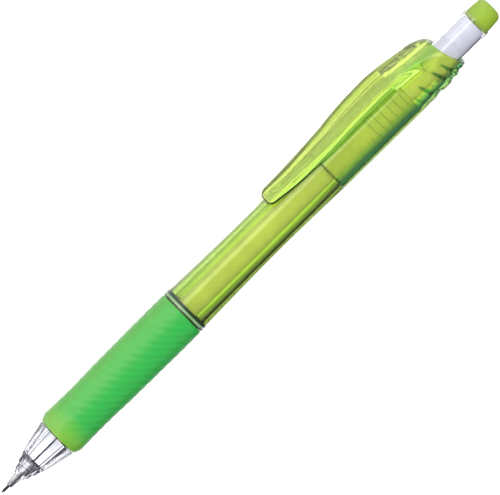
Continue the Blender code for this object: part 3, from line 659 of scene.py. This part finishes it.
CORE_FRONT = 16.9
FLANGE_FRONT = 54.0
FLANGE_RADIUS = 5.53
WAIST = (78.5, 5.01)  # place and radius of the thinnest part
FRONT_SWELL = (0.41, 23.0)  # growth of the radius from the waist, and the length that it takes
REAR_SWELL = (0.345, 18.3)
PAINTED_DARK_LINES = ((CORE_FRONT, 54.32), (54.85, 55.5), (96.65, 97.0))  # on the outside only: painted shade at the flange, and the dark joint at the cap
STRIPE_END = 54.9
OUTSIDE = 4.5  # faces nearer to the axis than this belong to the inside
JOINT = 96.8  # where the barrel's outside ends and the cap begins
PLUG_START = 97.0
PLUG_RADIUS = 4.4
PLUG_INSIDE = 4.0
PLUG_END = 120.0
RIB_START = 108.1
RIB_PITCH = 0.6
RIB_COUNT = 19
RIB_SET = 3  # the first rib of each set is taller, and the gap at the set's end has painted shade


def barrel_radius(z):
    """A gentle waist between the flange and the cap joint."""
    middle, waist = WAIST
    growth, length = FRONT_SWELL if z < middle else REAR_SWELL
    return waist + growth * min(abs(z - middle) / length, 1.0) ** 1.5


def plug_looks(z, radius):
    """The part inside the cap is clearer, with painted shade in the gap at the end of each set of ribs and on
    its end.
    """
    if z > 119.8:
        return LIME_PAINTED_PLUG_SHADE
    ribbed = RIB_START < z < 119.5 and radius > PLUG_INSIDE
    return LIME_PAINTED_PLUG_SHADE if ribbed and (z - RIB_START) % (RIB_SET * RIB_PITCH) > 1.5 else LIME_PLUG


def barrel_looks(centre, normal):
    """Painted shade lines on the flange with a pale stripe between them, and a dark end face at the cap
    joint.
    """
    radius = math.hypot(centre.x, centre.y)
    if centre.z > PLUG_START:
        return plug_looks(centre.z, radius)
    if radius < OUTSIDE:
        return LIME
    if any(start < centre.z < end for start, end in PAINTED_DARK_LINES):
        return LIME_PAINTED_DARK_LINE
    return FLANGE_PALE if centre.z < STRIPE_END else LIME


def make_barrel():
    outer = [(CORE_FRONT, 4.0), (FLANGE_FRONT, 4.0), (FLANGE_FRONT, 5.46), (54.12, FLANGE_RADIUS)]
    outer += [(54.32, FLANGE_RADIUS), (54.6, FLANGE_RADIUS), (54.72, 5.42), (54.86, 5.42)]
    outer += [(54.98, FLANGE_RADIUS), (55.36, FLANGE_RADIUS), (55.5, 5.46), (55.55, 5.42)]
    outer += [(z, barrel_radius(z)) for z in spread(55.8, 96.62, 60)]
    outer += [(96.74, 5.32), (JOINT, 5.25), (JOINT, PLUG_RADIUS), (105.5, PLUG_RADIUS)]
    for i in range(RIB_COUNT):
        z = RIB_START + RIB_PITCH * i
        crest = 4.46 if i % RIB_SET else 4.59
        outer += [(z, PLUG_RADIUS), (z + 0.12, crest), (z + 0.3, crest), (z + 0.42, PLUG_RADIUS)]
    outer += [(119.8, PLUG_RADIUS), (PLUG_END, 4.25)]
    bore = [(CORE_FRONT, 3.2), (25.8, 3.2), (25.8, 2.8), (51.0, 2.8), (51.0, 3.4), (FLANGE_FRONT, 3.4)]
    bore += [(54.6, 3.95), (90.0, 3.95), (97.0, 3.72), (104.0, 3.6), (PLUG_END, 3.6)]
    work = turned(outer, bore, 144)
    looks = [LIME, LIME_PAINTED_DARK_LINE, FLANGE_PALE, LIME_PLUG, LIME_PAINTED_PLUG_SHADE]
    add_piece("barrel_body", work, looks, "holder", "barrel", 30.0, barrel_looks)


# ---------------------------------------------------------------- cap and clip


CAP_FRONT = 96.95
CAP_FRONT_BORE = 4.62
RIM_CENTRE = 132.57
RIM_SLANT = 1.5
RIM = ((3.95, 0.05), (3.78, 0.0), (3.75, -0.15))  # radius and rise over the slanted mouth
CAP_BORE = (
    (129.0, 3.78), (127.0, 3.86), (124.5, 4.02), (122.0, 4.2), (120.3, 4.32), (120.3, CAP_FRONT_BORE),
    (CAP_FRONT, CAP_FRONT_BORE),
)
SCALLOP_SLANT = 1.6
SCALLOPS = (  # z, half width, depth
    (121.2, 0.5, 0.1), (124.3, 1.2, 0.3), (128.4, 1.1, 0.3), (130.6, 0.8, 0.25),
)
SCALLOPS_START = 120.5
ROOT_STATIONS = (  # z, height, half width, corner radius
    (116.0, 7.87, 3.9, 0.8), (118.0, 7.75, 3.9, 0.8), (120.0, 7.5, 3.9, 0.9), (122.0, 7.15, 3.95, 1.0),
    (124.0, 6.75, 4.1, 1.3), (126.0, 6.4, 4.4, 1.8), (127.5, 6.2, 4.75, 2.4), (129.0, 5.9, 5.0, 3.3),
    (130.4, 5.5, 5.1, 4.2), (131.5, 4.9, 4.7, 4.4),
)
CLIP_TIP = 82.95
CLIP_SPLIT = 119.0
TIP_ROUNDING = 1.7
TIP_SQUARENESS = 2.6
PAD_HEIGHT = 6.275
PAD_PLACE = 87.3
PAD_SIZE = (0.9, 1.3, 2.6)  # depth, half width, half length
CLIP_STATIONS = (  # z, height, half width, corner radius, clearance from the barrel or cap
    (CLIP_TIP, 6.4, 2.45, 0.5, 0.75), (84.6, 6.75, 2.5, 0.55, 0.8), (87.2, 6.76, 2.6, 0.6, 0.5),
    (91.0, 6.8, 2.75, 0.6, 0.2), (94.8, 6.88, 2.95, 0.65, 0.2), (98.2, 7.0, 3.15, 0.7, 0.25),
    (101.6, 7.14, 3.35, 0.7, 0.42), (105.0, 7.5, 3.6, 0.8, 0.75), (108.3, 7.76, 3.75, 0.8, 1.0),
    (111.7, 7.87, 3.85, 0.8, 1.12), (116.0, 7.87, 3.9, 0.8, 1.15), (CLIP_SPLIT, 7.63, 3.9, 0.85, 1.05),
)


def cap_radius(z):
    return 5.355 + 0.125 * max(0.0, min(1.0, (z - JOINT) / 21.0))


def rim_height(angle):
    return RIM_CENTRE - RIM_SLANT * math.cos(angle)


def rounded_box_radius(angle, height, width, corner):
    """Distance from the axis to a round-cornered box on the clip's side, or 0 on the other side."""
    x, y = math.cos(angle), abs(math.sin(angle))
    if x <= 0.0:
        return 0.0
    a, b = height - corner, width - corner
    if y * height <= b * x:
        return height / x
    if x * width <= a * y:
        return width / y
    p = a * x + b * y
    return p + math.sqrt(max(0.0, p * p - (a * a + b * b - corner * corner)))


def scallop(angle, z):
    """Depth of the slanted grooves across the side away from the clip."""
    share = ease((0.75 - math.cos(angle)) / 0.7)
    depth = 0.0
    for centre, width, deepest in SCALLOPS:
        offset = (z - centre + SCALLOP_SLANT * math.cos(angle)) / width
        depth += deepest * max(0.0, 1.0 - offset * offset) ** 1.5
    return depth * share


def cap_outer(angle, z, rooted):
    """Outside of the cap: rounded in towards its mouth and, if rooted, grown out to the clip's root."""
    inset = max(0.0, rim_height(angle) - z)
    rounding = 1.05 * max(0.0, 1.0 - inset / 5.5) ** 1.7
    clip_side = max(0.0, math.cos(angle))
    base = cap_radius(z) - rounding * (1.0 - 0.45 * clip_side) - scallop(angle, z)
    if not rooted:
        return base
    height, width, corner = along(ROOT_STATIONS, z)
    return max(base, rounded_box_radius(angle, height, width, corner))


def cap_angles():
    """Angles round the cap, closer together over the clip's root."""
    half = spread(0.0, 20.0, 14) + spread(21.0, 50.0, 40) + spread(52.0, 110.0, 36) + spread(113.0, 180.0, 28)
    ring = half + [360.0 - a for a in reversed(half[1:-1])]
    return [math.radians(a) for a in ring]


def cap_looks(centre, normal):
    """A dark front end at the joint, a clear plane where the clip's arm grows out, and painted shade on the
    steep flanks of the grooves.
    """
    if abs(centre.z - CLIP_SPLIT) < 0.02 and abs(normal.z) > 0.9:
        return FUSED
    if centre.z < CAP_FRONT + 0.11 and math.hypot(centre.x, centre.y) > 4.5:
        return LIME_PAINTED_DARK_LINE
    inner = normal.x * centre.x + normal.y * centre.y < 0.0
    if centre.z < SCALLOPS_START or inner:
        return LIME_CAP
    angle = math.atan2(centre.y, centre.x)
    near = 0.15
    steepness = (scallop(angle, centre.z + near) - scallop(angle, centre.z - near)) / (2 * near)
    return LIME_PAINTED_SHADE if steepness > 0.15 else LIME_CAP


def make_cap():
    angles = cap_angles()
    chamfer = 0.06
    rings = [[polar(cap_outer(a, CAP_FRONT, False) - chamfer, a, CAP_FRONT) for a in angles]]
    for z in spread(CAP_FRONT + 0.08, CLIP_SPLIT, 24):
        rings.append([polar(cap_outer(a, z, False), a, z) for a in angles])
    for heights in zip(*(spread(CLIP_SPLIT, rim_height(a), 96) for a in angles)):
        rings.append([polar(cap_outer(a, z, True), a, z) for a, z in zip(angles, heights)])
    rings += [[polar(r, a, rim_height(a) + rise) for a in angles] for r, rise in RIM]
    rings += [[polar(r, a, z) for a in angles] for z, r in CAP_BORE]
    work = loft(rings, closed=True)
    looks = [LIME_CAP, LIME_PAINTED_DARK_LINE, FUSED, LIME_PAINTED_SHADE]
    add_piece("cap_shell", work, looks, "holder", "rear_cap", 30.0, cap_looks)


def clip_arm(z):
    """Height, half width, corner radius, underside radius and half angle of the arm at z."""
    height, width, corner, clearance = along(CLIP_STATIONS, z)
    short = max(0.0, 1.0 - (z - CLIP_TIP) / TIP_ROUNDING)
    width *= max(0.02, 1.0 - short**TIP_SQUARENESS) ** (1.0 / TIP_SQUARENESS)
    height -= 0.35 * short**3
    corner = min(corner, width * 0.9)
    under = (barrel_radius(z) if z < JOINT else cap_radius(z)) + clearance
    return height, width, corner, under, math.asin(min(0.95, width / under))


def clip_edge(z):
    """Height of the painted shade strip along the lower edge of the arm's side walls, tallest at the free
    end.
    """
    return 0.12 + 0.4 * ease((104.0 - z) / 18.0)


def clip_looks(centre, normal):
    """The blunt end and the lower edges of the side walls near it carry painted shade, much darker than the
    rest.
    """
    if centre.z > CLIP_SPLIT - 0.02:
        return FUSED
    _, width, _, under, edge = clip_arm(centre.z)
    lower_edge = centre.x < under * math.cos(edge) + clip_edge(centre.z) and abs(centre.y) > width - 0.06
    if centre.z < CLIP_TIP + 0.3 or (lower_edge and centre.z < 97.0):
        return LIME_PAINTED_DARK_LINE
    return LIME_PAINTED_SHADE if lower_edge and centre.z < 112.0 else LIME_CAP


def clip_section(z):
    """One slice of the arm: a slightly crowned front, side walls and an underside with the pad."""
    height, width, corner, under, edge = clip_arm(z)
    skirt = max(height - corner, under * math.cos(edge) + 0.1)
    crown = 0.06
    points = []
    for angle in spread(edge, -edge, 41):
        x, y = under * math.cos(angle), under * math.sin(angle)
        points.append((min(x, pad_bottom(y, z)), y))
    arc = spread(0.0, math.pi / 2, 8)
    middle = min(under * math.cos(edge) + clip_edge(z), skirt - 0.02)
    points.append((middle, -width))
    for turn in arc:
        points.append((height - corner + corner * math.sin(turn), corner - width - corner * math.cos(turn)))
    for y in spread(corner - width, width - corner, 11)[1:-1]:
        points.append((height + crown * (1.0 - (y / (width - corner)) ** 2), y))
    for turn in reversed(arc):
        points.append((height - corner + corner * math.sin(turn), width - corner + corner * math.cos(turn)))
    points.append((middle, width))
    return [(x, y, z) for x, y in points]


def pad_bottom(y, z):
    """Height of the pad's underside over the axis, or a height above everything outside the pad."""
    depth, half_width, half_length = PAD_SIZE
    inside = 1.0 - (y / half_width) ** 2 - ((z - PAD_PLACE) / half_length) ** 2
    return PAD_HEIGHT - depth * math.sqrt(inside) if inside > 0.0 else math.inf


def make_clip():
    heights = [CLIP_TIP + TIP_ROUNDING * t * t for t in spread(0.03, 1.0, 18)]
    heights += spread(84.75, 90.4, 36) + spread(90.8, CLIP_SPLIT, 70)
    work = loft([clip_section(z) for z in heights])
    looks = [LIME_CAP, FUSED, LIME_PAINTED_SHADE, LIME_PAINTED_DARK_LINE]
    piece = add_piece("clip_arm_shape", work, looks, None, None, 35.0, clip_looks)
    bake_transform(piece)
    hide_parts("clip")


# ---------------------------------------------------------------- push unit


TUBE_FRONT = 38.4
TUBE_REAR = 140.6
BUTTON_FRONT = 126.6
BUTTON_REAR = 141.6
ERASER_END = 146.0
SPRING_FRONT = 25.85
SPRING_REAR = 33.15


def make_tube():
    outer = [(TUBE_FRONT, 2.5), (126.0, 2.5), (126.8, 2.9), (134.35, 2.9), (134.45, 2.82), (134.65, 2.82)]
    outer += [(134.75, 2.9), (140.4, 2.9), (TUBE_REAR, 2.7)]
    bore = [(TUBE_FRONT, 1.9), (TUBE_REAR, 1.9)]
    add_piece("tube_frosted", turned(outer, bore, 96), [FROSTED], "push_unit", "lead_tube")


def make_button():
    outer = rounded([(BUTTON_FRONT, 3.1), (BUTTON_FRONT, 3.55), (BUTTON_REAR, 3.55), (BUTTON_REAR, 3.3)])
    bore = [(BUTTON_FRONT, 3.0), (139.75, 3.0), (139.75, 3.3), (BUTTON_REAR, 3.3)]
    work = turned(outer, bore, 128)
    add_piece("button_shell", work, [CLEAR_BUTTON], "push_unit", "push_button")


def make_eraser():
    outer = [(133.0, 1.6), (133.3, 1.8), (140.8, 1.8), (140.8, 3.1), (140.9, 3.18), (142.0, 3.18)]
    outer.append((143.4, 3.12))
    outer += rounded([(144.0, 3.06), (145.2, 2.93), (ERASER_END, 2.1), (ERASER_END, 0.4)], 0.35, 5)
    outer.append((ERASER_END, 0.02))
    add_piece("eraser_stick", turned(outer, None, 96), [ERASER], "eraser", "eraser")


def make_spring():
    """The return spring: a coil of round wire whose front end sits on the brass seat, riding the holder."""
    turns, per_turn = 7, 24
    coil, wire = 1.75, 0.17
    round_wire = [(wire * math.cos(a), wire * math.sin(a)) for a in round_angles(8)]
    rings = []
    for i, z in enumerate(spread(SPRING_FRONT + wire, SPRING_REAR - wire, turns * per_turn + 1)):
        angle = math.tau * i / per_turn
        rings.append([polar(coil + out, angle, z + rise) for out, rise in round_wire])
    piece = add_piece("return_spring_wire", loft(rings), [STEEL], "holder", "return_spring")
    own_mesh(piece)


def dress_inner_nodes():
    """Gives the hidden pieces, which keep their CAD shapes, materials of their own."""
    looks = {
        "lead_retainer": DARK_RUBBER, "clutch_ring": BRASS, "clutch_seat": BRASS, "chuck_tail": BRASS,
        "chuck_jaw_1": BRASS, "chuck_jaw_2": BRASS, "chuck_jaw_3": BRASS, "chuck_holder": WHITE,
        "spare_lead_1": GRAPHITE, "spare_lead_2": GRAPHITE, "spare_lead_3": GRAPHITE,
    }
    for name, material in looks.items():
        node = frame["nodes"][name]
        for slot in node.material_slots:
            slot.link = "OBJECT"
            slot.material = material


# ---------------------------------------------------------------- floor, light and camera


def make_floor():
    work = bmesh.new()
    corners = ((-1, -1), (1, -1), (1, 1), (-1, 1))
    work.faces.new([work.verts.new((x * FLOOR_HALF, y * FLOOR_HALF, 0.0)) for x, y in corners])
    mesh = bpy.data.meshes.new("floor")
    work.to_mesh(mesh)
    work.free()
    s = Shader("floor_paper")
    s.set(Roughness=0.9)
    paper = s.mottled(s.noise(s.position(), 0.02), (0.93, 0.93, 0.93), (0.96, 0.96, 0.96))
    s.link(paper, s.main.inputs["Base Color"])
    mesh.materials.append(s.material)
    floor = bpy.data.objects.new("floor", mesh)
    bpy.context.scene.collection.objects.link(floor)


def make_studio():
    """A pale room whose light comes mostly from low in front, with a dark band low behind the pencil."""
    studio = bpy.data.worlds.new("studio")
    studio.use_nodes = True
    n = Nodes(studio.node_tree)
    place = n.add("ShaderNodeTexCoord")
    split = n.add("ShaderNodeSeparateXYZ")
    n.link(place.outputs["Generated"], split.inputs[0])

    def levels(*stops):
        return n.ramp(split.outputs["Z"], [(height, (level,) * 3) for height, level in stops])

    front = levels((0.0, FRONT_GLOW), (0.22, FRONT_GLOW), (0.4, FRONT_TOP[0]), (1.0, FRONT_TOP[1]))
    rear = levels((0.0, REAR_DARK), (0.42, REAR_DARK), (0.6, REAR_TOP[0]), (1.0, REAR_TOP[1]))
    side = n.add("ShaderNodeMapRange", From_Min=-0.25, From_Max=0.25)
    n.link(split.outputs["Y"], side.inputs["Value"])
    room = n.add("ShaderNodeMixRGB")
    n.link(side.outputs["Result"], room.inputs["Fac"])
    n.link(front, room.inputs["Color1"])
    n.link(rear, room.inputs["Color2"])
    back = n.tree.nodes["Background"]
    back.inputs["Strength"].default_value = STUDIO_STRENGTH
    n.link(room.outputs["Color"], back.inputs["Color"])
    seen = n.add("ShaderNodeBackground", Color=(1.0, 1.0, 1.0, 1.0))
    rays = n.add("ShaderNodeLightPath")
    camera_ray = rays.outputs["Is Camera Ray"]
    surface = n.mixed_shaders(camera_ray, back.outputs["Background"], seen.outputs["Background"])
    n.link(surface, n.tree.nodes["World Output"].inputs["Surface"])
    bpy.context.scene.world = studio


def add_lamp(name, location, size, power):
    """A soft lamp aimed at the middle of the floor, which shiny and clear surfaces don't show."""
    light = bpy.data.lights.new(name, "AREA")
    light.shape = "RECTANGLE"
    light.size, light.size_y = size
    light.energy = power
    lamp = bpy.data.objects.new(name, light)
    lamp.location = location
    lamp.rotation_mode = "QUATERNION"
    lamp.rotation_quaternion = (-Vector(location)).to_track_quat("-Z", "Y")
    lamp.visible_glossy = False
    lamp.visible_transmission = False
    bpy.context.scene.collection.objects.link(lamp)


def make_camera():
    back = direction(TO_CAMERA)
    lift = direction(-ACROSS)
    tail = direction(ALONG)
    right = tail * math.cos(VIEW_ROLL) - lift * math.sin(VIEW_ROLL)
    up = tail * math.sin(VIEW_ROLL) + lift * math.cos(VIEW_ROLL)
    data = bpy.data.cameras.new("camera")
    data.lens = LENS
    data.sensor_width = SENSOR_WIDTH
    data.clip_start, data.clip_end = 0.05, 20.0
    distance = VIEW_WIDTH * MM * LENS / SENSOR_WIDTH
    camera = bpy.data.objects.new("camera", data)
    centre = PEN @ Vector((0.0, 0.0, VIEW_CENTRE[0] * MM)) + lift * VIEW_CENTRE[1] * MM
    matrix = Matrix((right, up, back)).transposed().to_4x4()
    matrix.translation = centre + back * distance
    camera.matrix_world = matrix
    bpy.context.scene.collection.objects.link(camera)
    bpy.context.scene.camera = camera


make_nose()
make_guide()
make_lead()
make_grip()
make_barrel()
make_cap()
make_clip()
make_tube()
make_button()
make_eraser()
make_spring()
dress_inner_nodes()
make_floor()
make_studio()
add_lamp("key", (-0.05, -0.72, 0.53), (0.35, 0.3), 12.5)
add_lamp("top_fill", (0.1, 0.4, 0.75), (0.5, 0.5), 5.0)
make_camera()
bpy.context.scene.view_settings.view_transform = "Standard"
